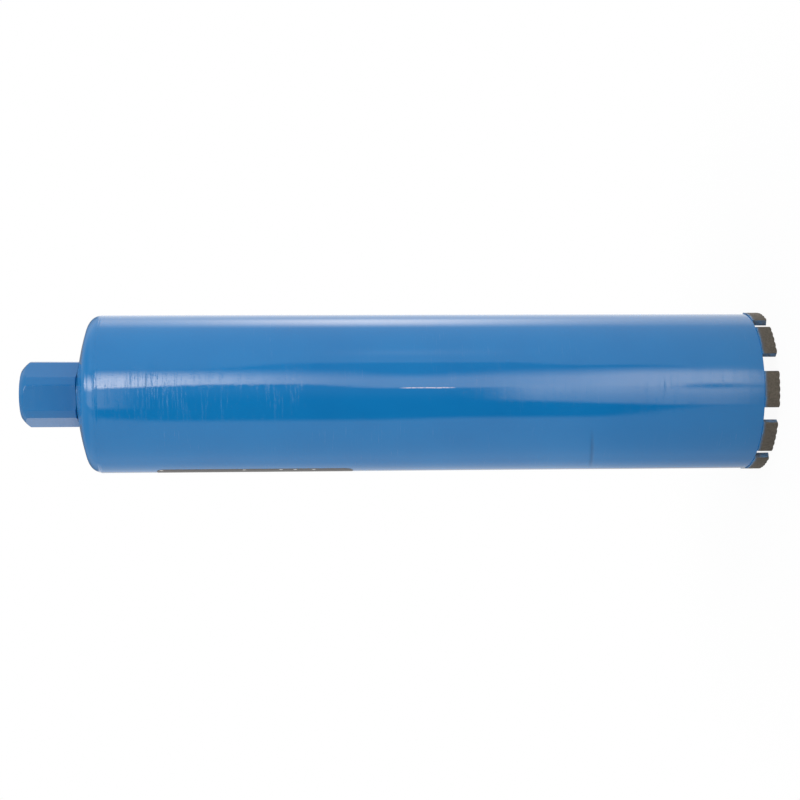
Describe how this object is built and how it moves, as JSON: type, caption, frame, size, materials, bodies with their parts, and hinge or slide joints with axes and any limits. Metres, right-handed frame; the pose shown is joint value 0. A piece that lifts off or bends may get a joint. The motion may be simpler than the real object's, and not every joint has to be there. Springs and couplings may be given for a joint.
{
  "type": "diamond core bit",
  "caption": "Wet diamond core bit: long painted steel barrel with a toothed ring of parallel-ended segments, domed end cap and hexagonal threaded hub.",
  "frame": {"origin": "middle of the crown, on the plane of the segments' tooth tips, on which the bit stands", "axes": "+Z along the axis from the crown to the hub; -Y is the side that faces the camera"},
  "size_m": [0.1078, 0.108, 0.5011],
  "materials": {
    "barrel_paint": "glossy blue paint outside, bare dark steel inside",
    "cap_paint": "glossy blue paint outside, bare dark steel inside",
    "seam_paint": "weld ground flush under glossy blue paint",
    "hub_paint": "glossy blue paint outside, bare oiled steel thread",
    "weld_paint": "weld bead under glossy blue paint",
    "segment_matrix": "grey-brown sintered metal with diamond grit"
  },
  "bodies": {
    "root": {"barrel_tube": "barrel_paint", "end_cap": "cap_paint", "seam_weld": "seam_paint", "hub": "hub_paint", "hub_weld": "weld_paint", "segment_01": "segment_matrix", "segment_02": "segment_matrix", "segment_03": "segment_matrix", "segment_04": "segment_matrix", "segment_05": "segment_matrix", "segment_06": "segment_matrix", "segment_07": "segment_matrix", "segment_08": "segment_matrix", "segment_09": "segment_matrix", "segment_10": "segment_matrix"}
  },
  "joints": []
}
